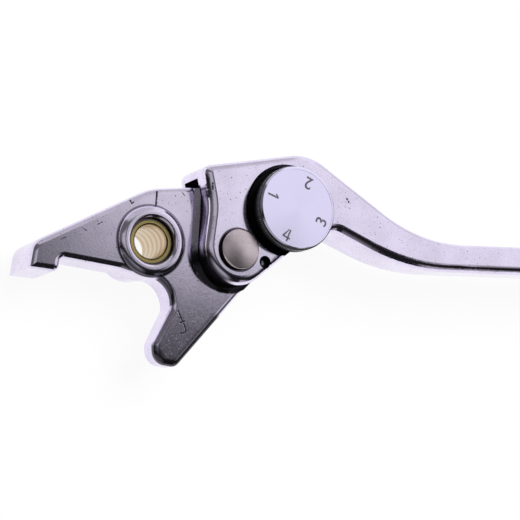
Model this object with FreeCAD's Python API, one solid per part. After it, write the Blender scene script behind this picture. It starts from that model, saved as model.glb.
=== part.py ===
# Adjustable front brake lever for a scooter or motorcycle: a cast knocker that turns on the
# perch bolt and pushes the master cylinder, a cast blade hinged to it, and a numbered dial
# whose cam sets how far the blade stands from the grip.
# Millimetres. The origin is the middle of the pivot bore, +Z runs up the bore towards the dial,
# +X runs along the blade to its ball end and +Y points away from the grip.
import FreeCAD, Part
import math
import os

V = FreeCAD.Vector
UP = V(0, 0, 1)

# Pivot bush and its boss
BORE_R = 4.0
BUSH_R = 5.0
BUSH_LENGTH = 15.0
BUSH_CHAMFER = 0.35
BOSS_R = 8.4
BOSS_BACK_R = 7.6
BOSS_RISE = 1.4
BOSS_EDGE = 1.7
MOUTH_R = 5.4
MOUTH_EDGE = 0.8

# Knocker: thickness of each limb, measured down from the front face
FACE_Z = BUSH_LENGTH / 2
BACK_Z = -BUSH_LENGTH / 2
HOOK_T = 14.3
FINGER_T = 8.5
PLATE_T = 7.0
NOSE_T = 5.0
FRONT_EDGE = 1.4
PARTING_W = 0.45
PARTING_D = 0.3
PARTING_X = 0.65
SHOULDER_X = 12.6
HOOK_END_X = -20.4
FINGER_END_X = -4.0
LEG_TOP_Y = -12.0
LEG_DEG = 51.1
LEG_OFFSET = 8.9
LEG_START = 3.4
LEG_LENGTH = 28.8

# Hinge between knocker and blade
PIN_X = 19.6
PIN_Y = -0.2
PIN_R = 3.0
PIN_HEAD_R = 4.7
PIN_HEAD_H = 1.9
PIN_CROWN_R = 20.0
PIN_HEAD_EDGE = 0.4
PIN_PEEN_R = 4.0
PIN_PEEN_H = 1.1
PIN_WASHER_R = 5.2
PIN_WASHER_T = 0.8
HUB_R = 7.6
PAD_R = 9.5
PAD_RISE = 1.1
PAD_SLOPE_W = 1.3
PAD_TOP_Y = 14.15
TONGUE_T = 6.6
CAM_ARM_OUT = 2.7
CAM_ARM_IN = 4.3
CAM_ARM_W = 3.0
LUG_FOOT_Y = 7.4
LUG_TOP_Y = 14.6
SLOT_GAP = 0.3
EAR_R = 8.65
EAR_T = 4.6
LOWER_EAR_T = 2.6
RUNNING_FIT = 0.05

# Blade
ARM_T = 12.7
ARM_TAPER_START = 46.0
ARM_TAPER_END = 82.0
ARM_TAPER_R = 200.0
ARM_W = 7.2
HEAD_Y = 18.6
BLADE_DRAFT = 0.85
BLADE_EDGE = 2.0
BLADE_LOWER_EDGE = 1.3
BALL_X = 160.0
BALL_Y = 14.3
BALL_R = 8.5
WEB_Y = 16.3
INDEX_X = 26.7
INDEX_Y = -2.2
INDEX_R = 1.5
INDEX_DEPTH = 1.6

# Reach dial, cam and their retainer
DIAL_X = 32.3
DIAL_Y = 10.85
DIAL_R = 10.1
DIAL_PROUD = 4.9
DIAL_RIM_H = 0.75
DIAL_CHAMFER = 0.4
DIAL_LIP_W = 0.3
DIAL_FACE_DROP = 0.06
DIAL_NECK_R = 9.0
DIAL_SEAT_GAP = 0.15
KNURL_TEETH = 140
KNURL_DEPTH = 0.35
KNURL_H = 2.8
POCKET_R = 10.5
POCKET_CHAMFER = 0.85
POCKET_DEPTH = 1.2
JOURNAL_R = 6.5
SOCKET_R = 4.0
SOCKET_DEPTH = 3.6
CAM_R = 4.6
CAM_GAP = 0.1
CAM_END_GAP = 0.25
CAM_POCKET_R = 7.4
CAM_PUSH_DEG = -63.3
STEM_R = 3.0
CLIP_R = 5.0
CLIP_T = 0.7
CLIP_GROOVE = 0.7
CLIP_SCALLOP_R = 1.75
CAM_WASHER_R = 5.4
CAM_WASHER_T = 0.6
STEM_TAIL = 0.9

# Travel: the dial's turn from its last number to its first, and the blade's two swings
DIAL_TURN_DEG = 270.0
REACH_DEG = 4.5
PUSH_DEG = 2.5
SWING_CLEAR = 0.6

# Return spring between the tongue and the blade's web
SPRING_WALL_X = 15.0
SPRING_SEAT_X = 22.6
SPRING_Y = 12.0
SPRING_R = 2.1
SPRING_WIRE_R = 0.3
SPRING_TURNS = 4
SPRING_END_GAP = 0.1

# Levels that follow from the sizes above
PAD_Z = FACE_Z + PAD_RISE
TONGUE_Z = PAD_Z - TONGUE_T
SLOT_TOP = PAD_Z + SLOT_GAP
SLOT_BOTTOM = TONGUE_Z - SLOT_GAP
BLADE_TOP = SLOT_TOP + EAR_T
BLADE_BOTTOM = SLOT_BOTTOM - LOWER_EAR_T
ARM_BOTTOM = BLADE_TOP - ARM_T
ARM_MID_Z = BLADE_TOP - ARM_T / 2
POCKET_Z = BLADE_TOP - POCKET_DEPTH
DIAL_BOTTOM = POCKET_Z + DIAL_SEAT_GAP
DIAL_TOP = BLADE_TOP + DIAL_PROUD
PIN = V(PIN_X, PIN_Y, 0)
DIAL = V(DIAL_X, DIAL_Y, 0)
FAR = 300.0


def heading(degrees):
    return V(math.cos(math.radians(degrees)), math.sin(math.radians(degrees)), 0)


def tangent_corner(centre, radius, normal_a, normal_b):
    """Corner of the two lines that touch a circle where its normals point at these headings."""
    half = (normal_b - normal_a) / 2
    corner = centre + heading(normal_a + half) * (radius / math.cos(math.radians(half)))
    return corner.x, corner.y, radius


def outline(corners):
    """Closed flat wire through corners (x, y, rounding radius), rounded by tangent arcs."""
    points = [V(x, y, 0) for x, y, _ in corners]
    ends = []
    for i, (_, _, radius) in enumerate(corners):
        here = points[i]
        to_last = (points[i - 1] - here).normalize()
        to_next = (points[(i + 1) % len(points)] - here).normalize()
        half = to_last.getAngle(to_next) / 2
        reach = radius / math.tan(half)
        middle = here + (to_last + to_next).normalize() * (radius / math.sin(half) - radius)
        ends.append((here + to_last * reach, middle, here + to_next * reach))
    edges = []
    for i, (start, middle, stop) in enumerate(ends):
        if corners[i][2] > 0:
            edges.append(Part.Arc(start, middle, stop).toShape())
        edges.append(Part.LineSegment(stop, ends[(i + 1) % len(ends)][0]).toShape())
    return Part.Wire(edges)


def prism(corners, bottom, top):
    face = Part.Face(outline(corners))
    face.translate(V(0, 0, bottom))
    return face.extrude(V(0, 0, top - bottom))


def cylinder(radius, bottom, top, centre=V(0, 0, 0)):
    return Part.makeCylinder(radius, top - bottom, V(centre.x, centre.y, bottom))


def cone(radius_bottom, radius_top, bottom, top, centre=V(0, 0, 0)):
    return Part.makeCone(radius_bottom, radius_top, top - bottom, V(centre.x, centre.y, bottom))


def turned(profile, centre=V(0, 0, 0)):
    """Solid of revolution about a vertical axis from (radius, height) points."""
    points = [V(centre.x + r, centre.y, z) for r, z in profile]
    face = Part.Face(Part.makePolygon(points + points[:1]))
    return face.revolve(V(centre.x, centre.y, 0), UP, 360)


def edges_at(shape, level):
    """Edges that lie flat at one height."""
    return [e for e in shape.Edges
            if abs(e.BoundBox.ZMin - level) < 1e-4 and abs(e.BoundBox.ZMax - level) < 1e-4]


def lower_rim(shape):
    """Outer edges of the faces that look down."""
    seen = {}
    for face in shape.Faces:
        u0, u1, v0, v1 = face.ParameterRange
        if face.normalAt((u0 + u1) / 2, (v0 + v1) / 2).z < -0.9:
            for edge in face.Edges:
                seen.setdefault(edge.hashCode(), []).append(edge)
    rim = [edges[0] for edges in seen.values() if len(edges) == 1]
    return [e for e in rim if e.CenterOfMass.x < BALL_X - 1]


def push_way():
    return heading(CAM_PUSH_DEG)


def cam_rise():
    """Growth of the cam that swings the blade through its reach range."""
    arm = DIAL - PIN
    swung = FreeCAD.Rotation(UP, REACH_DEG).multVec(arm)
    return push_way().dot(arm - swung)


def leg_edge(along, offset=LEG_OFFSET):
    """Point on the leg's straight right edge, counted along it from abreast of the hinge pin."""
    return PIN + heading(LEG_DEG - 90) * offset + heading(LEG_DEG) * along


def knocker_outline():
    """Front view of the finger, shoulder and leg, with the shoulder's edge under the blade's ear."""
    leg_root = leg_edge(-LEG_START)
    foot = leg_edge(-LEG_LENGTH)
    return [
        (-27.75, -3.7, 4.0), (-0.95, 12.5, 16.0), (SHOULDER_X, 15.0, 0.0), (SHOULDER_X, PIN_Y, 0.0),
        (leg_root.x, leg_root.y, 0.0), (foot.x, foot.y, 2.2), (foot.x - 5.75, foot.y + 0.35, 3.4),
        (foot.x - 6.2, foot.y + 4.85, 2.0), (6.2, -14.9, 1.2), (6.2, -8.2, 6.0), (-2.0, -8.2, 2.0),
        (-7.0, -7.2, 3.0), (-21.2, -6.5, 1.0), (-21.4, -9.75, 1.5), (-28.35, -9.7, 0.0)]


def tongue_outline():
    """Hinge hub, the arm that the cam bears on, and the lug that seats the return spring."""
    way = push_way()
    along = V(-way.y, way.x, 0)
    pad = DIAL + way * (CAM_R + CAM_GAP)
    arm_tip = pad + along * CAM_ARM_OUT
    arm_root = pad - along * CAM_ARM_IN
    arm_under = arm_tip + way * CAM_ARM_W
    return [
        tangent_corner(PIN, HUB_R, 180.0, 315.0),
        (arm_under.x, arm_under.y, 1.0), (arm_tip.x, arm_tip.y, 0.6),
        (arm_root.x, arm_root.y, 2.5), (PIN_X + 1.0, PIN_Y + HUB_R, 3.0),
        (SPRING_WALL_X, LUG_FOOT_Y, 1.2), (SPRING_WALL_X, LUG_TOP_Y, 0.6), (PIN_X - HUB_R, LUG_TOP_Y, 0.0)]


def pad_outline(inset):
    """Raised pad round the hinge, which the blade's upper ear slides over."""
    left = PIN_X - PAD_R
    right = leg_edge(1.5, PAD_R - inset)
    return [
        tangent_corner(PIN, PAD_R - inset, 180.0, 270.0 + LEG_DEG),
        (right.x, right.y, 0.0), (SPRING_WALL_X, LUG_FOOT_Y, 1.2),
        (SPRING_WALL_X, LUG_TOP_Y, 0.0), (left + inset, PAD_TOP_Y, 0.0)]


def head_corners(grow=0.0):
    """Left end of the blade: its dented edge and the round end about the hinge."""
    return [
        (9.5 - grow, HEAD_Y + grow, 2.2), (12.0 - grow, 9.4, 14.0),
        tangent_corner(PIN, EAR_R + grow, 176.0, 311.0)]


def blade_outline(flare):
    """Front view of the blade, from the forked head over the hump at the dial to the tip."""
    return head_corners() + [
        (34.5, 1.8, 12.0), (45.5, 9.0 - flare, 5.0), (67.0, 1.9 - flare, 55.0),
        (BALL_X, BALL_Y - ARM_W / 2 - flare, 0.0), (BALL_X, BALL_Y + ARM_W / 2, 0.0),
        (71.2, 8.65, 43.0), (37.7, 26.25, 12.5)]


def ear_sweep(bottom, top):
    """Room that a fork ear needs as the blade swings forwards over the knocker."""
    right = DIAL_X + EAR_R
    far_side = [(right, PIN_Y - EAR_R, 0.0), (right, HEAD_Y + SWING_CLEAR, 0.0)]
    ear = prism(head_corners(SWING_CLEAR) + far_side, bottom, top)
    sweep = ear
    steps = 3
    for step in range(1, steps + 1):
        turned_ear = ear.copy()
        turned_ear.rotate(PIN, UP, (REACH_DEG + PUSH_DEG) * step / steps)
        sweep = sweep.fuse(turned_ear)
    return sweep


def beyond_leg():
    """Everything to the right of the leg's straight edge."""
    near = leg_edge(-FAR)
    far = leg_edge(FAR)
    out = heading(LEG_DEG - 90) * FAR
    corners = [near, far, far + out, near + out]
    return prism([(c.x, c.y, 0.0) for c in corners], -FAR, FAR)


def make_boss():
    """Pivot boss with a rounded ring at its mouth, above the bush."""
    mouth = FACE_Z + BOSS_RISE
    boss = cylinder(BOSS_R, FACE_Z - PLATE_T, mouth).cut(cylinder(MOUTH_R, FACE_Z, mouth + 1))
    outer = max(edges_at(boss, mouth), key=lambda e: e.Length)
    boss = boss.makeFillet(BOSS_EDGE, [outer])
    inner = min(edges_at(boss, mouth), key=lambda e: e.Length)
    boss = boss.makeFillet(MOUTH_EDGE, [inner])
    return boss.fuse(cylinder(BOSS_BACK_R, BACK_Z, FACE_Z - PLATE_T))


def make_knocker():
    body = prism(knocker_outline(), FACE_Z - HOOK_T, FACE_Z)
    hidden = SHOULDER_X - 0.1
    rim = [e for e in edges_at(body, FACE_Z)
           if e.CenterOfMass.x < hidden or e.CenterOfMass.y < PIN_Y - HUB_R]
    body = body.makeFillet(FRONT_EDGE, rim)
    body = body.cut(Part.makeBox(FAR, FAR, FAR, V(HOOK_END_X, -FAR / 2, FACE_Z - FINGER_T - FAR)))
    body = body.cut(Part.makeBox(FAR, FAR, FAR, V(FINGER_END_X, -FAR / 2, FACE_Z - PLATE_T - FAR)))
    leg_end = leg_edge(-LEG_LENGTH).y
    taper = [V(-FAR, LEG_TOP_Y, FACE_Z - PLATE_T), V(-FAR, leg_end, FACE_Z - NOSE_T),
             V(-FAR, leg_end - 1, FACE_Z - NOSE_T), V(-FAR, leg_end - 1, -FAR), V(-FAR, LEG_TOP_Y, -FAR)]
    body = body.cut(Part.Face(Part.makePolygon(taper + taper[:1])).extrude(V(2 * FAR, 0, 0)))
    parting = Part.makeBox(PARTING_W, FAR, FAR, V(PARTING_X - PARTING_W / 2, 0, FACE_Z - PARTING_D))
    body = body.cut(parting)
    body = body.cut(ear_sweep(-FAR, TONGUE_Z))
    pad_foot = outline(pad_outline(0.0))
    pad_foot.translate(V(0, 0, FACE_Z))
    pad_edge = outline(pad_outline(PAD_SLOPE_W))
    pad_edge.translate(V(0, 0, PAD_Z))
    pad = Part.makeLoft([pad_foot, pad_edge], True, True)
    pad = pad.fuse(prism(pad_outline(0.0), TONGUE_Z, FACE_Z)).cut(beyond_leg())
    tongue = prism(tongue_outline(), TONGUE_Z, PAD_Z)
    body = body.fuse([tongue, pad, make_boss()])
    body = body.cut([
        cylinder(BUSH_R, BACK_Z - 1, FACE_Z + 1),
        cylinder(PIN_R + RUNNING_FIT, TONGUE_Z - 1, PAD_Z + 1, PIN)])
    return body.removeSplitter()


def make_pivot_bush():
    c = BUSH_CHAMFER
    return turned([
        (BORE_R, BACK_Z + c), (BORE_R + c, BACK_Z), (BUSH_R, BACK_Z),
        (BUSH_R, FACE_Z), (BORE_R + c, FACE_Z), (BORE_R, FACE_Z - c)])


def slot_outline():
    """Milled fork slot, open to the left and below, stepped to seat the return spring."""
    right = DIAL_X + CAM_POCKET_R - 0.2
    return [
        (-FAR, -FAR, 0.0), (right, -FAR, 0.0), (right, DIAL_Y, 0.0),
        (SPRING_SEAT_X, DIAL_Y, 0.0), (SPRING_SEAT_X, WEB_Y, 0.0), (-FAR, WEB_Y, 0.0)]


def arm_underside():
    """Room under the arm, which thins gently from the fork towards the tip."""
    side = outline([
        (ARM_TAPER_START, BLADE_BOTTOM, ARM_TAPER_R), (ARM_TAPER_END, ARM_BOTTOM, ARM_TAPER_R),
        (FAR, ARM_BOTTOM, 0.0), (FAR, -FAR, 0.0), (0.0, -FAR, 0.0), (0.0, BLADE_BOTTOM, 0.0)])
    side.rotate(V(0, 0, 0), V(1, 0, 0), 90)
    side.translate(V(0, FAR, 0))
    return Part.Face(side).extrude(V(0, -2 * FAR, 0))


def make_lever_blade():
    foot = outline(blade_outline(0.0))
    foot.translate(V(0, 0, BLADE_BOTTOM))
    face = outline(blade_outline(BLADE_DRAFT))
    face.translate(V(0, 0, BLADE_TOP))
    body = Part.makeLoft([foot, face], True, True)
    body = body.cut(arm_underside())
    body = body.makeFillet(BLADE_EDGE, edges_at(body, BLADE_TOP))
    body = body.makeFillet(BLADE_LOWER_EDGE, lower_rim(body))
    body = body.fuse(Part.makeSphere(BALL_R, V(BALL_X, BALL_Y, ARM_MID_Z)))
    slot = prism(slot_outline(), SLOT_BOTTOM, SLOT_TOP)
    slot = slot.fuse(cylinder(CAM_POCKET_R, SLOT_BOTTOM, SLOT_TOP, DIAL))
    above = BLADE_TOP + 1
    below = BLADE_BOTTOM - 1
    index = V(INDEX_X, INDEX_Y, 0)
    drill = BLADE_TOP - INDEX_DEPTH
    body = body.cut([
        slot,
        cylinder(POCKET_R, POCKET_Z, above, DIAL),
        cone(POCKET_R, POCKET_R + POCKET_CHAMFER, BLADE_TOP - POCKET_CHAMFER, BLADE_TOP, DIAL),
        cylinder(JOURNAL_R + RUNNING_FIT, SLOT_TOP - 1, above, DIAL),
        cylinder(STEM_R + RUNNING_FIT, below, SLOT_TOP, DIAL),
        cylinder(PIN_R + RUNNING_FIT, below, above, PIN),
        cylinder(INDEX_R, drill, above, index),
        cone(0.0, INDEX_R, drill - INDEX_R / 2, drill, index)])
    return body.removeSplitter()


def make_joint_pin():
    top = BLADE_TOP + PIN_HEAD_H
    head_z = BLADE_TOP + RUNNING_FIT
    washer = BLADE_BOTTOM - RUNNING_FIT - PIN_WASHER_T
    peen = washer - PIN_PEEN_H
    crown = Part.makeSphere(PIN_CROWN_R, PIN + UP * (top - PIN_CROWN_R))
    head = cylinder(PIN_HEAD_R, head_z, top + 1, PIN).common(crown)
    upper = [e for e in head.Edges if e.Length > PIN_HEAD_R and e.BoundBox.ZMin > head_z + RUNNING_FIT]
    head = head.makeFillet(PIN_HEAD_EDGE, upper)
    shank = turned([
        (0.0, peen), (PIN_R, peen), (PIN_PEEN_R, peen + PIN_PEEN_H / 2), (PIN_PEEN_R, washer),
        (PIN_R, washer), (PIN_R, head_z), (0.0, head_z)], PIN)
    return head.fuse(shank).removeSplitter()


def ring(outer, inner, bottom, top, centre):
    return cylinder(outer, bottom, top, centre).cut(cylinder(inner, bottom - 1, top + 1, centre))


def make_pin_washer():
    top = BLADE_BOTTOM - RUNNING_FIT
    return ring(PIN_WASHER_R, PIN_R + RUNNING_FIT, top - PIN_WASHER_T, top, PIN)


def make_adjuster_dial():
    rim_z = DIAL_TOP - DIAL_RIM_H
    knurl_z = rim_z - KNURL_H
    teeth = []
    for i in range(2 * KNURL_TEETH):
        radius = DIAL_R - KNURL_DEPTH * (i % 2)
        teeth.append(DIAL + heading(180.0 * i / KNURL_TEETH) * radius + UP * knurl_z)
    grip = Part.Face(Part.makePolygon(teeth + teeth[:1])).extrude(UP * KNURL_H)
    rim = DIAL_R - KNURL_DEPTH / 2
    lip = rim - DIAL_CHAMFER - DIAL_LIP_W
    face_z = DIAL_TOP - DIAL_FACE_DROP
    cap = turned([
        (0.0, rim_z), (rim, rim_z), (rim, DIAL_TOP - DIAL_CHAMFER), (rim - DIAL_CHAMFER, DIAL_TOP),
        (lip, DIAL_TOP), (lip, face_z), (0.0, face_z)], DIAL)
    body = cylinder(DIAL_NECK_R, DIAL_BOTTOM, knurl_z, DIAL).fuse([grip, cap])
    return body.cut(cylinder(SOCKET_R, DIAL_BOTTOM - 1, DIAL_BOTTOM + SOCKET_DEPTH, DIAL))


def cam_outline():
    """Snail cam: its radius grows evenly over the dial's turn and falls back over the rest."""
    rise = cam_rise()
    step = 15
    points = []
    for turn in range(0, 360, step):
        if turn <= DIAL_TURN_DEG:
            radius = CAM_R + rise * turn / DIAL_TURN_DEG
        else:
            fall = (360 - turn) / (360 - DIAL_TURN_DEG)
            radius = CAM_R + rise * fall * fall * (3 - 2 * fall)
        points.append(DIAL + heading(CAM_PUSH_DEG + turn) * radius)
    curve = Part.BSplineCurve()
    curve.interpolate(points, PeriodicFlag=True)
    return Part.Wire(curve.toShape())


def make_cam_spindle():
    cam_bottom = SLOT_BOTTOM + CAM_END_GAP
    face = Part.Face(cam_outline())
    face.translate(V(0, 0, cam_bottom))
    cam = face.extrude(V(0, 0, SLOT_TOP - cam_bottom))
    groove_top = BLADE_BOTTOM - 2 * RUNNING_FIT - CAM_WASHER_T
    groove = groove_top - CLIP_T - RUNNING_FIT
    tail = groove - STEM_TAIL
    body = cam.fuse([
        cylinder(JOURNAL_R, SLOT_TOP, DIAL_BOTTOM, DIAL),
        cylinder(SOCKET_R, DIAL_BOTTOM, DIAL_BOTTOM + SOCKET_DEPTH, DIAL),
        cylinder(STEM_R, tail, cam_bottom, DIAL)])
    return body.cut(ring(STEM_R + 1, STEM_R - CLIP_GROOVE, groove, groove_top, DIAL))


def make_cam_washer():
    top = BLADE_BOTTOM - RUNNING_FIT
    return ring(CAM_WASHER_R, STEM_R + RUNNING_FIT, top - CAM_WASHER_T, top, DIAL)


def make_cam_clip():
    """Spring clip with an open mouth and two relief scallops, snapped into the stem's groove."""
    inner = STEM_R - CLIP_GROOVE
    top = BLADE_BOTTOM - 2 * RUNNING_FIT - CAM_WASHER_T
    bottom = top - CLIP_T
    body = ring(CLIP_R, inner, bottom, top, DIAL)
    mouth = Part.makeBox(CLIP_R + 1, 1.8 * inner, CLIP_T + 2, V(0, -0.9 * inner, bottom - 1))
    mouth.translate(DIAL)
    scallops = [cylinder(CLIP_SCALLOP_R, bottom - 1, top + 1, DIAL + heading(turn) * inner)
                for turn in (120, 240)]
    return body.cut([mouth] + scallops)


def make_return_spring():
    start = SPRING_WALL_X + SPRING_END_GAP + SPRING_WIRE_R
    length = SPRING_SEAT_X - SPRING_END_GAP - SPRING_WIRE_R - start
    helix = Part.makeHelix(length / SPRING_TURNS, length, SPRING_R)
    circle = Part.makeCircle(SPRING_WIRE_R, V(SPRING_R, 0, 0), V(0, 1, 0))
    coil = Part.Wire(helix).makePipeShell([Part.Wire(circle)], True, True)
    coil.rotate(V(0, 0, 0), V(0, 1, 0), 90)
    coil.translate(V(start, SPRING_Y, (SLOT_TOP + SLOT_BOTTOM) / 2))
    return coil


PIECES = {
    "knocker": make_knocker,
    "pivot_bush": make_pivot_bush,
    "lever_blade": make_lever_blade,
    "joint_pin": make_joint_pin,
    "pin_washer": make_pin_washer,
    "adjuster_dial": make_adjuster_dial,
    "cam_spindle": make_cam_spindle,
    "cam_washer": make_cam_washer,
    "cam_clip": make_cam_clip,
    "return_spring": make_return_spring,
}

os.makedirs("parts", exist_ok=True)
for name, make in PIECES.items():
    shape = make()
    shape.exportStep("parts/%s.step" % name)
    state = "valid" if shape.isValid() else "INVALID"
    print(name, state, len(shape.Solids), "solid", round(shape.Volume, 1))
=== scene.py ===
# %% [markdown]
# # An adjustable brake lever
# The packed model gives every solid of the lever at its true size, in metres. The origin is the
# middle of the pivot bore, +Z points up to the dial and +X runs along the blade. This lesson
# leaves those solids where they are. It gives them their metal, prints the numbers on the dial and
# draws the return spring anew, parted in two halves.

# %% Load the frame
import math
import bpy
import bmesh
from mathutils import Matrix, Vector


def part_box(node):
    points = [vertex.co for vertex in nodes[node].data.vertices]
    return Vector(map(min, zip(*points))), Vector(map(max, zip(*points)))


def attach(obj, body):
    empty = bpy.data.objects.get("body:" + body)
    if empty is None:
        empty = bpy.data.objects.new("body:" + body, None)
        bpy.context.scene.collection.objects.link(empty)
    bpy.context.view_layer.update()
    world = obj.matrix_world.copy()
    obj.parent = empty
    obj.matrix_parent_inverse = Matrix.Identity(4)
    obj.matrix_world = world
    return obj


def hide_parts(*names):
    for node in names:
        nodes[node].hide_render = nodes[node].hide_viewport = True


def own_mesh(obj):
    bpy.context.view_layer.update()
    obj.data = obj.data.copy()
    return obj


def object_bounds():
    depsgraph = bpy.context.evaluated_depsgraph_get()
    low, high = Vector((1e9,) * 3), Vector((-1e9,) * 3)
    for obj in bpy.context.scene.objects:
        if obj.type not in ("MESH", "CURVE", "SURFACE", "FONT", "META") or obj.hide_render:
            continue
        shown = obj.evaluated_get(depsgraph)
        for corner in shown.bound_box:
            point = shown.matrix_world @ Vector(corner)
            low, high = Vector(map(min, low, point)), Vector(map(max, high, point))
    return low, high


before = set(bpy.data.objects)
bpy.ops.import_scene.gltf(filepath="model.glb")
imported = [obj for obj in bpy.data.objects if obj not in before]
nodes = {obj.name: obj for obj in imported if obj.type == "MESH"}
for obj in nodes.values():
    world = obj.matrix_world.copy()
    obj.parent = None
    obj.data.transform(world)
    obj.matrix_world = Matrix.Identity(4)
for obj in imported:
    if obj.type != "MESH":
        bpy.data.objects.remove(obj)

MM = 0.001
scene = bpy.context.scene
cad_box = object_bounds()


def add_object(name, data):
    made = bpy.data.objects.new(name, data)
    scene.collection.objects.link(made)
    return made


print("solids:", sorted(nodes))

# %% [markdown]
# ## Camera
# The photograph looks down on the lever from the finger's side, so the left flanks show. A long
# lens keeps the blade from shrinking much towards its end. The place and the two directions below
# come from lining up the round edges of the boss, the pin and the dial.

# %% Set the camera
camera_place = (-0.12287, -0.06218, 0.29947)
look = Vector((0.4522, 0.1840, -0.8727)).normalized()
down = Vector((0.1296, -0.9817, -0.1398)).normalized()
right = down.cross(look).normalized()
down = look.cross(right)
camera_data = bpy.data.cameras.new("camera")
camera_data.sensor_width = 36.0
camera_data.lens = 96.9
camera = add_object("camera", camera_data)
turned = Matrix((right, -down, -look)).transposed().to_4x4()
camera.matrix_world = Matrix.Translation(camera_place) @ turned
scene.camera = camera
scene.view_settings.view_transform = "Standard"
print("camera", [round(v, 4) for v in camera.location], "lens", camera_data.lens)

# %% [markdown]
# ## Writing shaders as sums
# A shader tree is easier to read as arithmetic than as a list of nodes and links. The class below
# holds one socket. Sums on it add Math nodes, and its `node` method adds any other node: settings
# first, then values or links for its inputs.

# %% Wrap a socket


class Strand:
    def __init__(self, tree, socket=None):
        self.tree = tree
        self.socket = socket

    def node(self, kind, settings=None, inputs=None, output=0):
        made = self.tree.nodes.new(kind)
        for name, value in (settings or {}).items():
            setattr(made, name, value)
        for name, value in (inputs or {}).items():
            if isinstance(value, Strand):
                self.tree.links.new(value.socket, made.inputs[name])
            else:
                made.inputs[name].default_value = value
        return Strand(self.tree, made.outputs[output] if made.outputs else None)

    def maths(self, operation, first, second=0.0):
        return self.node("ShaderNodeMath", {"operation": operation}, {0: first, 1: second})

    def __add__(self, other):
        return self.maths("ADD", self, other)

    def __sub__(self, other):
        return self.maths("SUBTRACT", self, other)

    def __rsub__(self, other):
        return self.maths("SUBTRACT", other, self)

    def __mul__(self, other):
        return self.maths("MULTIPLY", self, other)

    def __abs__(self):
        return self.maths("ABSOLUTE", self)

    __radd__ = __add__
    __rmul__ = __mul__

    def step(self, low, high):
        """0 at low and 1 at high, with soft shoulders; low may be the greater of the two."""
        return self.node("ShaderNodeMapRange", {"interpolation_type": "SMOOTHSTEP"},
                         {"Value": self, "From Min": low, "From Max": high})

    def between(self, low, high):
        """The same step for a length, with its two places in millimetres."""
        return self.step(low * MM, high * MM)

    def ripple(self, pitch):
        """Waves along a length, with this many millimetres from crest to crest."""
        return self.maths("SINE", self * (2 * math.pi / (pitch * MM)))

    def axis(self, letter):
        """One coordinate of a vector."""
        return self.node("ShaderNodeSeparateXYZ", inputs={0: self}, output=letter)

    def vector(self, operation, first, second=(0.0, 0.0, 0.0), output=0):
        return self.node("ShaderNodeVectorMath", {"operation": operation},
                         {0: first, 1: second}, output)

    def blend(self, first, second):
        """Colour that goes from first to second as this strand goes from 0 to 1."""
        return self.node("ShaderNodeMix", {"data_type": "RGBA"}, {0: self, 6: first, 7: second}, 2)


def largest(*strands):
    """At each point, the greatest of several strands."""
    top = strands[0]
    for strand in strands[1:]:
        top = top.maths("MAXIMUM", top, strand)
    return top


print("Strand can", [name for name in vars(Strand) if not name.startswith("__")])

# %% [markdown]
# ## Light and floor
# Bare metal shows what stands round it. Here that is one large soft box, up and away from the
# grip, dim walls elsewhere and a white floor. The world draws this room by direction, and only the
# metal sees it: the camera sees plain white. The floor is white to the eye and to reflections, and
# keeps a little plain shading, so the lever's shadow stays.

# %% Room seen in the metal
WALL, SOFT_BOX, WHITE = 0.6, 0.93, 1.0
world = bpy.data.worlds.new("studio")
world.use_nodes = True
scene.world = world
room = Strand(world.node_tree)
toward = room.node("ShaderNodeTexCoord", output="Generated")
aside, ahead, above = (toward.axis(letter) for letter in "XYZ")
far_half = ahead.step(-0.2, 0.1)
left_glow = 0.08 + 0.40 * ahead.step(0.33, 0.24) * above.step(0.55, 0.9)
walls = 0.01 + 0.05 * far_half + far_half * aside.step(0.3, -0.1) * left_glow
back_wall = (ahead + 0.5 * aside).step(0.40, 0.50)
front_wall = 0.38 * ahead.step(-0.25, -0.5) * aside.step(0.25, 0.0)
right_wall = 0.45 * ahead.step(-0.58, -0.78) * aside.step(0.48, 0.55)
low_right = aside.step(0.55, 0.8) * above.step(0.5, 0.2)
lower_edge = 0.132 - 0.45 * aside.step(0.46, 0.55)
soft_box = aside.step(0.25, 0.425) * ahead.step(lower_edge, 0.21) * (1 - low_right)
below = above.step(0.0, -0.04)
seen = room.node("ShaderNodeLightPath", output="Is Camera Ray")
level = walls + back_wall * (WALL - walls) + front_wall + right_wall
for part, brightness in ((soft_box, SOFT_BOX), (below, WHITE), (seen, WHITE)):
    level = level + part * (brightness - level)
background = world.node_tree.nodes["Background"]
world.node_tree.links.new(level.socket, background.inputs["Strength"])
background.inputs["Color"].default_value = (1.0, 1.0, 1.0, 1.0)
print("room nodes:", len(world.node_tree.nodes))

# %% Floor
floor_half = 3.0
floor_gap = 0.1 * MM
floor_mesh = bpy.data.meshes.new("floor")
sheet = bmesh.new()
bmesh.ops.create_grid(sheet, x_segments=1, y_segments=1, size=floor_half)
bmesh.ops.translate(sheet, verts=sheet.verts, vec=(0.0, 0.0, cad_box[0][2] - floor_gap))
sheet.to_mesh(floor_mesh)
sheet.free()
floor = add_object("floor", floor_mesh)
paper = bpy.data.materials.new("white_paper")
paper.use_nodes = True
paper.node_tree.nodes.clear()
page = Strand(paper.node_tree)
eye, glossy, through = (
    page.node("ShaderNodeLightPath", output=f"Is {ray} Ray")
    for ray in ("Camera", "Glossy", "Transmission"))
mirrored = page.maths("MINIMUM", glossy + through, 1.0)
shaded = page.node("ShaderNodeBsdfDiffuse", inputs={"Color": (0.9, 0.9, 0.9, 1.0)})
glow = page.node("ShaderNodeEmission", inputs={"Color": (1.0, 1.0, 1.0, 1.0), "Strength": 1.0})
glow_share = 0.93 * eye + 0.97 * mirrored
mixed = page.node("ShaderNodeMixShader", inputs={0: glow_share, 1: shaded, 2: glow})
page.node("ShaderNodeOutputMaterial", inputs={"Surface": mixed})
floor_mesh.materials.append(paper)
print("floor at", round(cad_box[0][2] / MM, 2), "mm")

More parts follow.
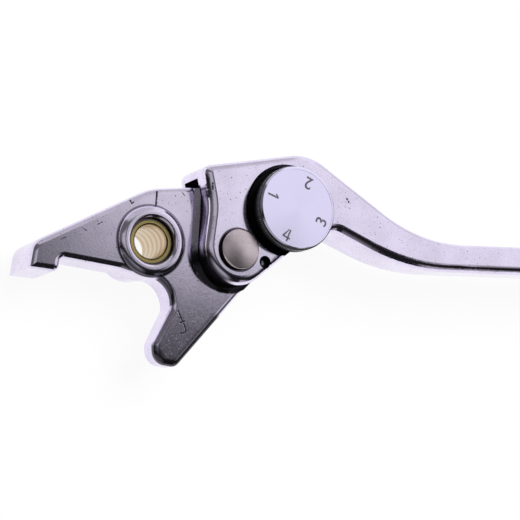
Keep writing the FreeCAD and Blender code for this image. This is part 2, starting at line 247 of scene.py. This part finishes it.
# %% Lamp
lamp_aim = Vector((0.04, 0.0, 0.0))
lamp_data = bpy.data.lights.new("soft_lamp", "AREA")
lamp_data.shape = "DISK"
lamp_data.size = 0.9
lamp_data.energy = 14.0
lamp = add_object("soft_lamp", lamp_data)
lamp.location = (0.35, 0.45, 0.9)
lamp.rotation_euler = (lamp_aim - lamp.location).to_track_quat("-Z", "Y").to_euler()
lamp.visible_glossy = False
print("lamp", lamp_data.energy, "W")

# %% [markdown]
# ## Helpers for metal
# Every finish starts as a plain material, with a strand that tells the place on the piece. `feed`
# joins patterns to its sockets and `clothe` gives the finish to a solid. Places on the lever are
# written in millimetres, as on its drawing.

# %% Start a finish


def finish(name, base, roughness, metallic=1.0):
    material = bpy.data.materials.new(name)
    material.use_nodes = True
    shader = material.node_tree.nodes["Principled BSDF"]
    shader.inputs["Base Color"].default_value = (*base, 1.0)
    shader.inputs["Roughness"].default_value = roughness
    shader.inputs["Metallic"].default_value = metallic
    s = Strand(material.node_tree)
    return material, shader, s, s.node("ShaderNodeTexCoord", output="Object")


def feed(shader, **strands):
    for socket, strand in strands.items():
        strand.tree.links.new(strand.socket, shader.inputs[socket.replace("_", " ")])


def clothe(node, material):
    nodes[node].data.materials.clear()
    nodes[node].data.materials.append(material)


def shade(colour, amount):
    return (*[min(1.0, c * amount) for c in colour], 1.0)


def bump(s, height, strength, depth):
    """Raised pattern, this many millimetres deep."""
    return s.node("ShaderNodeBump", inputs={
        "Height": height, "Strength": strength, "Distance": depth * MM})


print("finish, feed, clothe, shade and bump are ready")

# %% [markdown]
# ## Cast aluminium
# Knocker and blade are pressure castings, tumbled and polished. Close up they keep a fine skin,
# small dark pores, short dents and hairlines from handling. A map painted by hand would show them
# too, but a pattern in the metal's own coordinates has no seams and stays sharp at every distance.

# %% Patterns of the casting


def skin(s, place, size):
    """Cloudy noise with lumps of this size in millimetres."""
    return s.node("ShaderNodeTexNoise", inputs={
        "Vector": place, "Scale": 1 / (size * MM), "Detail": 3.0})


def pores(s, place, cell, share, radius):
    """Round spots of this radius, in a share of the cells."""
    inputs = {"Vector": place, "Scale": 1 / (cell * MM)}
    chance = s.node("ShaderNodeTexVoronoi", inputs=inputs, output="Color").axis("X")
    reach = s.node("ShaderNodeTexVoronoi", inputs=inputs)
    return reach.step(radius / cell, 0.5 * radius / cell) * chance.step(1 - share, 1.05 - share)


def dents(s, place, turn, length, width, share):
    """Short strokes that all lie one way."""
    laid = s.node("ShaderNodeVectorRotate", {"rotation_type": "Z_AXIS"},
                  {"Vector": place, "Angle": turn})
    laid = s.vector("MULTIPLY", laid, (width / length, 1.0, 1.0))
    return pores(s, laid, 4 * width, share, 0.5 * width)


def flattened(s, place):
    return s.vector("MULTIPLY", place, (1.0, 1.0, 0.0))


def round_about(s, place, x, y):
    """Distance, seen from the front, from a point."""
    return s.vector("DISTANCE", flattened(s, place), (x * MM, y * MM, 0.0), "Value")


def away(s, place, start, end):
    """Distance, seen from the front, from the line between two points."""
    a = Vector((*start, 0.0)) * MM
    along = Vector((*end, 0.0)) * MM - a
    out = s.vector("SUBTRACT", flattened(s, place), tuple(a))
    share = s.vector("DOT_PRODUCT", out, tuple(along / along.length_squared), "Value")
    share = s.node("ShaderNodeClamp", inputs={"Value": share})
    nearest = s.node("ShaderNodeVectorMath", {"operation": "SCALE"},
                     {0: tuple(along), "Scale": share})
    return s.vector("DISTANCE", out, nearest, "Value")


def near(s, place, points):
    """Distance, seen from the front, from a chain of lines."""
    gap = away(s, place, points[0], points[1])
    for start, end in zip(points[1:], points[2:]):
        gap = s.maths("MINIMUM", gap, away(s, place, start, end))
    return gap


print("patterns: skin, pores, dents, round_about, away, near")

# %% [markdown]
# ## Dirt and painted shade
# Grease and brake dust stay where a rag does not reach: in the seam round the blade's ear, with
# painted shade laid over them there, and on the wall at the ear's lower end. Painted shade and
# painted dark reflection lie in the mouth and on the lower left of the boss, along the edges of the
# leg and its bay, in the pocket round the dial, round the foot of the pin's head, on the ear's
# round lower edge and in the slot. A thin dark line runs round the foot of the boss, and the small
# index hole is dark, less so at its middle. Each place is a mask, and the ragged edges come from
# noise added to the distance. Thin marks tint the metal and thick ones cover it.

# %% Places of dirt and painted shade
dial_x, dial_y = 32.3, 10.85
pin_x, pin_y = 19.6, -0.2
index_x, index_y = 26.7, -2.2
seam = [(12.6, 15.0), (11.6, 9.0), (11.0, 2.0)]
leg_rim = [(17.7, -16.7), (9.6, -26.8), (8.4, -28.0), (4.5, -28.1), (2.5, -25.0)]
bay_rim = [(3.2, -9.0), (4.4, -10.0), (5.4, -11.2), (6.1, -13.2)]
foot_r = 8.5
black_grease_and_shade = (0.006, 0.006, 0.007, 1.0)
brown_dust_and_shade = (0.035, 0.03, 0.035, 1.0)


def knocker_dirt_and_shade(s, place, height):
    across = place.axis("Y")
    ragged = 1.2 * MM * (skin(s, place, 0.9) - 0.5)
    # Seam along the ear: thin brown dust, with painted shade between the parts.
    seam_dust_and_shade = (near(s, place, seam) + ragged).between(1.2, 0.6)
    from_bore = round_about(s, place, 0.0, 0.0)
    # A thin dark line round the foot of the boss.
    foot = abs(from_bore - foot_r * MM).between(0.3, 0.1)
    foot = foot * height.between(7.75, 7.55) * height.between(7.2, 7.4)
    # Painted shade inside the mouth of the boss.
    mouth_shade = from_bore.between(5.6, 5.45) * height.between(8.6, 8.1)
    # Lower half of the pad beside the ear: grease, with painted shade over it.
    low_grease_and_shade = (round_about(s, place, pin_x, pin_y) + 0.4 * ragged).between(9.8, 9.4)
    low_grease_and_shade = low_grease_and_shade * (across + 2 * ragged).between(2.0, -2.0)
    # Painted dark reflection on the lower left of the boss.
    boss_dark_reflection = from_bore.between(7.0, 7.9) * from_bore.between(8.6, 8.45)
    boss_dark_reflection = boss_dark_reflection * height.between(7.0, 7.25) * (across + ragged).between(-2.0, -5.0)
    # Painted dark reflection along the edges of the leg and its bay.
    rim = largest(near(s, place, leg_rim).between(2.4, 0.9),
                  near(s, place, bay_rim).between(1.4, 0.7))
    rim = rim * height.between(6.0, 6.4)
    thin = largest(0.25 * seam_dust_and_shade, 0.6 * foot)
    return thin, largest(0.9 * mouth_shade, 0.97 * low_grease_and_shade, 0.85 * boss_dark_reflection, 0.85 * rim)


def blade_dirt_and_shade(s, place, height):
    along, across = place.axis("X"), place.axis("Y")
    ragged = 2.0 * MM * (skin(s, place, 0.9) - 0.5)
    # Painted shade in the pocket round the dial.
    pocket_shade = round_about(s, place, dial_x, dial_y).between(10.75, 10.6)
    pocket_shade = pocket_shade * height.between(13.1, 12.9) * height.between(11.9, 12.1)
    # The index hole is dark, less so at its middle.
    from_index = round_about(s, place, index_x, index_y)
    index = from_index.between(1.62, 1.55) * (1 - 0.8 * from_index.between(0.8, 0.5))
    index = index * height.between(13.47, 13.35) * height.between(10.9, 11.0)
    from_pin = round_about(s, place, pin_x, pin_y)
    # Round lower end of the ear: painted dark reflection on its round edge, grease on its wall.
    ear_grease_and_shade = from_pin.between(6.9, 7.8) * from_pin.between(9.2, 8.9)
    ear_grease_and_shade = ear_grease_and_shade * height.between(13.45, 12.95) * height.between(8.5, 8.8)
    ear_grease_and_shade = ear_grease_and_shade * (across + ragged).between(0.0, -3.0) * along.between(20.0, 16.0)
    # Painted shade round the foot of the pin's head.
    pin_foot_shade = from_pin.between(5.4, 5.1) * height.between(13.2, 13.4)
    # Painted shadow in the slot above the knocker.
    gap = height.between(8.6, 8.8) * height.between(9.9, 9.4)
    gap = gap * along.between(14.5, 13.5) * across.between(14.9, 14.4)
    return 0.5 * ear_grease_and_shade, largest(pocket_shade, index, 0.97 * ear_grease_and_shade, 0.9 * pin_foot_shade, 0.95 * gap)


def cover(shader, share):
    """Lay matt black over this share of the metal, as grease and as painted shade."""
    bare = Strand(share.tree, shader.outputs["BSDF"])
    matt_black = share.node("ShaderNodeBsdfDiffuse", inputs={"Color": black_grease_and_shade})
    covered = share.node("ShaderNodeMixShader", inputs={0: share, 1: bare, 2: matt_black})
    feed(share.tree.nodes["Material Output"], Surface=covered)


# Most of these marks are painted shade and painted dark reflection; grease and dust lie in the seam
# and at the ear.
print("dirt at the seam, boss, leg, dial, pin and index hole")

# %% [markdown]
# ## Finished castings
# The skin sets how sharp the reflection is. Pores and dents are dark and a little sunken. Single
# scratches are sunken too and hold grease, and the dirt and painted shade lie over all of them.

# %% Cast metal
scar_grey = (0.045, 0.04, 0.055, 1.0)


def casting(name, base, scratches, dirt_and_shade):
    material, shader, s, place = finish(name, base, 0.15)
    height = place.axis("Z")
    fine = skin(s, place, 0.45)
    broad = skin(s, place, 6.0)
    pore = pores(s, place, 1.6, 0.8, 0.19) + pores(s, place, 0.8, 0.5, 0.13)
    dent = dents(s, place, 0.5, 1.3, 0.18, 0.06) + dents(s, place, -0.9, 0.9, 0.16, 0.05)
    ragged = 0.5 * MM * (skin(s, place, 0.5) - 0.5)
    scratch = largest(*[
        (away(s, place, start, end) + ragged).between(0.5 * width, 0.15 * width)
        for start, end, width in scratches])
    scar = largest(s.maths("MINIMUM", pore + dent, 1.0), scratch)
    thin, thick = dirt_and_shade(s, place, height)
    tone = (0.5 * fine + 0.5 * broad).step(0.34, 0.66)
    colour = tone.blend(shade(base, 0.88), shade(base, 1.05))
    colour = (0.75 * scar).blend(colour, scar_grey)
    # Thin dust and painted shade tint the metal brown.
    colour = thin.blend(colour, brown_dust_and_shade)
    feed(shader, Base_Color=colour, Roughness=0.08 + 0.08 * fine + 0.25 * scar + 0.2 * thin,
         Normal=bump(s, 0.3 * fine - 0.7 * scar, 0.2, 0.05))
    # Grease in the scratches, and the thick dirt and painted shade, cover the metal in matt black.
    cover(shader, largest(thick, 0.8 * scratch))
    return material


knocker_scratches = [
    ((-5.8, 8.9), (-5.4, 8.1), 0.45), ((-5.4, 8.1), (-5.0, 8.5), 0.45),
    ((-17.0, 0.8), (-15.9, 0.3), 0.25), ((-21.9, -2.6), (-20.4, -1.8), 0.22),
    ((-13.4, 2.0), (-12.2, 2.8), 0.2),
    ((7.9, -15.4), (8.9, -17.2), 0.55), ((8.9, -17.2), (10.1, -19.4), 0.5),
    ((10.1, -19.4), (9.9, -20.1), 0.6), ((8.5, -18.0), (9.7, -17.5), 0.5),
    ((9.9, -20.1), (8.7, -20.5), 0.5), ((8.1, -16.9), (9.0, -16.8), 0.45),
    ((0.7, 11.9), (0.6, 8.5), 0.6), ((7.0, 12.7), (7.7, 12.0), 0.3)]
blade_scratches = [
    ((10.9, 15.6), (11.3, 13.4), 0.8), ((11.4, 12.8), (11.7, 11.4), 0.6),
    ((12.0, 14.6), (12.2, 13.2), 0.5),
    ((48.3, 16.3), (48.4, 16.2), 0.7), ((48.8, 15.65), (48.85, 15.6), 0.6)]
for node, base, scratches, dirt_and_shade in (
        ("knocker", (0.775, 0.715, 0.905), knocker_scratches, knocker_dirt_and_shade),
        ("lever_blade", (0.80, 0.735, 0.935), blade_scratches, blade_dirt_and_shade)):
    clothe(node, casting(node.split("_")[-1] + "_casting", base, scratches, dirt_and_shade))
print("scratches:", len(knocker_scratches) + len(blade_scratches))

# %% [markdown]
# ## Bush
# The bush is bronze. The turning tool left rings on its faced rim and steps down its bore, and the
# bore is paler where the bolt has rubbed it. The rim's inner edge is dark.

# %% Turned bronze
bronze, shader, s, place = finish("turned_bronze", (0.74, 0.60, 0.30), 0.25)
height = place.axis("Z")
radius = round_about(s, place, 0.0, 0.0)
rim = height.between(7.05, 7.2)
inner_edge = radius.between(4.3, 4.12)
steps = height.ripple(2.6)
rings = radius.ripple(0.33)
grain = skin(s, place, 0.3)
bore_colour = (0.45 + 0.25 * steps + 0.3 * (grain - 0.5)).blend(
    (0.50, 0.37, 0.21, 1.0), (0.86, 0.73, 0.58, 1.0))
rim_colour = (0.5 + 0.3 * rings).blend((0.40, 0.31, 0.10, 1.0), (0.72, 0.60, 0.26, 1.0))
rim_colour = (0.85 * inner_edge).blend(rim_colour, (0.06, 0.04, 0.015, 1.0))
feed(shader, Base_Color=rim.blend(bore_colour, rim_colour), Roughness=0.22 + 0.15 * grain,
     Normal=bump(s, steps * (1 - rim) + 0.4 * rings * rim, 0.35, 0.08))
clothe("pivot_bush", bronze)

# %% [markdown]
# ## Pin and plated steel
# The pin's head is a duller, warmer steel than the castings, and the side of its head is painted
# dark as shade.
# The washers, spindle, clip and spring are plated steel, with the faint drawn lines of bar and
# wire.

# %% Steel
pin_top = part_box("joint_pin")[1][2]
pewter, shader, s, place = finish("dull_pin_steel", (0.70, 0.60, 0.66), 0.3)
# Painted shade on the side of the pin's head, below its top.
pin_side_shade = place.axis("Z").step(pin_top - 0.75 * MM, pin_top - 1.0 * MM)
worn = skin(s, place, 3.0)
fine = skin(s, place, 0.35)
dent = dents(s, place, 0.8, 1.1, 0.14, 0.08)
colour = (0.6 * worn + 0.4 * fine).step(0.3, 0.7).blend(
    (0.62, 0.535, 0.575, 1.0), (0.84, 0.73, 0.78, 1.0))
colour = (0.5 * dent).blend(colour, (0.02, 0.018, 0.02, 1.0))
feed(shader, Base_Color=colour, Roughness=0.24 + 0.16 * fine,
     Normal=bump(s, fine - dent, 0.2, 0.04))
cover(shader, 0.95 * pin_side_shade)
clothe("joint_pin", pewter)

plated, shader, s, place = finish("plated_steel", (0.62, 0.60, 0.62), 0.28)
cloudy = skin(s, place, 1.6)
drawn = skin(s, s.vector("MULTIPLY", place, (1.0, 1.0, 12.0)), 0.5)
colour = (0.7 * cloudy + 0.3 * drawn).step(0.3, 0.7).blend(
    (0.46, 0.45, 0.48, 1.0), (0.70, 0.68, 0.69, 1.0))
feed(shader, Base_Color=colour, Roughness=0.2 + 0.2 * cloudy, Normal=bump(s, drawn, 0.15, 0.03))
for small in ("pin_washer", "cam_spindle", "cam_washer", "cam_clip", "return_spring"):
    clothe(small, plated)
print("pin top at", round(pin_top / MM, 2), "mm")

# %% [markdown]
# ## Return spring
# The spring lies between the knocker's lug and the blade, and both joints between them press it. A
# stiff coil would cut into the lug, so the coil is parted in the middle. The half at the lug rides
# on the pin and the half at the blade rides on the blade.

# %% Two halves of the spring
spring_start, spring_end = (corner[0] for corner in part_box("return_spring"))
parting = 0.5 * (spring_start + spring_end)
parting_gap = 0.08 * MM


def half_spring(name, side, body, give):
    """The coil before (-1) or after (1) the parting; give, the shortening at the joint's limit, is
    not used.
    """
    cut = parting + side * parting_gap
    shape = bmesh.new()
    shape.from_mesh(nodes["return_spring"].data)
    bmesh.ops.remove_doubles(shape, verts=shape.verts, dist=0.001 * MM)
    bmesh.ops.bisect_plane(shape, geom=shape.verts[:] + shape.edges[:] + shape.faces[:],
                           plane_co=(cut, 0.0, 0.0), plane_no=(-side, 0.0, 0.0), clear_outer=True)
    bmesh.ops.holes_fill(shape, edges=[edge for edge in shape.edges if edge.is_boundary])
    bmesh.ops.recalc_face_normals(shape, faces=shape.faces)
    mesh = bpy.data.meshes.new(name)
    shape.to_mesh(mesh)
    shape.free()
    mesh.materials.append(plated)
    piece = add_object(name, mesh)
    start, end = (spring_start, cut) if side < 0 else (cut, spring_end)
    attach(piece, body)
    1 - give / (end - start)
    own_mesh(piece)
    return piece


half_spring("spring_lug_half", -1, "pin", 1.15 * MM)
blade_half = half_spring("spring_blade_half", 1, "blade", 0.75 * MM)
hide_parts("return_spring")
print("spring parted at", round(parting / MM, 2), "mm")

# %% [markdown]
# ## Dial
# The dial is black all round and bare on its faced top. One material does both: by height it turns
# from black paint, with a painted highlight on the tips of the knurl that grows towards the top, to
# bare metal at the chamfer. The cut of the face is a little off centre, so the bare metal is too.

# %% Dial finish
dial_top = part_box("adjuster_dial")[1][2]
cut_x, cut_y = dial_x - 0.15, dial_y + 0.2
dial_metal, shader, s, place = finish("black_dial", (0.765, 0.725, 0.975), 0.2)
height = place.axis("Z")
radius = round_about(s, place, dial_x, dial_y)
bare = height.step(dial_top - 0.50 * MM, dial_top - 0.40 * MM)
bare = bare * round_about(s, place, cut_x, cut_y).between(9.95, 9.85)
# Painted highlight on the tips of the knurl, brighter towards the top.
knurl_highlight = radius.between(9.99, 10.06) * height.step(dial_top - 2.8 * MM, dial_top - 1.2 * MM)
turning = radius.ripple(0.12)
fine = skin(s, place, 0.8)
black_paint_and_highlight = knurl_highlight.blend((0.004, 0.004, 0.005, 1.0), (0.85, 0.83, 0.90, 1.0))
face = (0.5 + 0.2 * turning + 0.5 * (fine - 0.5)).blend(
    (0.76, 0.72, 0.97, 1.0), (0.79, 0.745, 0.99, 1.0))
feed(shader, Base_Color=bare.blend(black_paint_and_highlight, face), Roughness=0.45 - 0.37 * bare + 0.04 * fine,
     Metallic=bare, Normal=bump(s, turning * bare, 0.05, 0.01))
clothe("adjuster_dial", dial_metal)
print("dial top at", round(dial_top / MM, 2), "mm")

# %% [markdown]
# ## Numbers on the dial
# Four plain numbers are printed round the face, each with its top towards the middle. A text
# object gives the 2 and the 3. The 1 and the 4 are drawn from given outlines, because the printed
# ones have a short flag and an open top. They all lie in the shallow recess inside the dial's lip,
# so nothing stands proud.

# %% Numbers
type_size = 4.2 * MM
half_ink = 0.008 * MM
ink_drop = 0.048 * MM
ink, shader, s, place = finish("number_ink", (0.8, 0.8, 0.8), 0.5, metallic=0.0)
patchy = skin(s, place, 0.5)
ink_colour = patchy.step(0.3, 0.7).blend((0.05, 0.045, 0.06, 1.0), (0.14, 0.13, 0.16, 1.0))
feed(shader, Base_Color=ink_colour, Roughness=0.45 + 0.2 * patchy)
outlines = {
    "1": [(0.06, 0.35), (0.06, -0.35), (-0.05, -0.35), (-0.05, 0.19), (-0.17, 0.10),
          (-0.17, 0.20), (-0.04, 0.35)],
    "4": [(0.13, 0.36), (0.13, -0.09), (0.24, -0.09), (0.24, -0.18), (0.13, -0.18),
          (0.13, -0.35), (0.03, -0.35), (0.03, -0.18), (-0.27, -0.18), (-0.27, -0.09),
          (-0.04, 0.36), (0.02, 0.36), (-0.15, -0.09), (0.03, -0.09), (0.03, 0.36)]}


def cut_out(corners):
    """Flat digit from its outline, in shares of the type size."""
    shape = bmesh.new()
    face = shape.faces.new([
        shape.verts.new((x * type_size, y * type_size, -half_ink)) for x, y in corners])
    grown = bmesh.ops.extrude_face_region(shape, geom=[face])["geom"]
    lifted = [v for v in grown if isinstance(v, bmesh.types.BMVert)]
    bmesh.ops.translate(shape, verts=lifted, vec=(0.0, 0.0, 2 * half_ink))
    bmesh.ops.recalc_face_normals(shape, faces=shape.faces)
    mesh = bpy.data.meshes.new("digit")
    shape.to_mesh(mesh)
    shape.free()
    return mesh


def typed(digit):
    """Flat digit from the plain built-in type."""
    curve = bpy.data.curves.new("digit_text", "FONT")
    curve.body = digit
    curve.size = type_size
    curve.align_x = "CENTER"
    curve.align_y = "CENTER"
    curve.offset = 0.045 * MM
    curve.extrude = half_ink
    text = add_object("digit_text", curve)
    bpy.context.view_layer.update()
    depsgraph = bpy.context.evaluated_depsgraph_get()
    mesh = bpy.data.meshes.new_from_object(text.evaluated_get(depsgraph))
    bpy.data.objects.remove(text)
    return mesh


def number(digit, bearing, reach):
    """One printed digit, its top turned to the middle of the dial."""
    mesh = cut_out(outlines[digit]) if digit in outlines else typed(digit)
    angle = math.radians(bearing)
    x = dial_x * MM + reach * MM * math.cos(angle)
    y = dial_y * MM + reach * MM * math.sin(angle)
    turn = Matrix.Rotation(angle + math.pi / 2, 4, "Z")
    mesh.transform(Matrix.Translation((x, y, dial_top - ink_drop)) @ turn)
    mesh.materials.clear()
    mesh.materials.append(ink)
    piece = add_object("number_" + digit, mesh)
    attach(piece, "dial")
    return piece


bearings = {"1": (164.5, 7.1), "2": (69.4, 6.9), "3": (-20.9, 6.9), "4": (-111.0, 7.4)}
printed = [number(digit, *spot) for digit, spot in bearings.items()]
print("numbers:", [piece.name for piece in printed])

# %% [markdown]
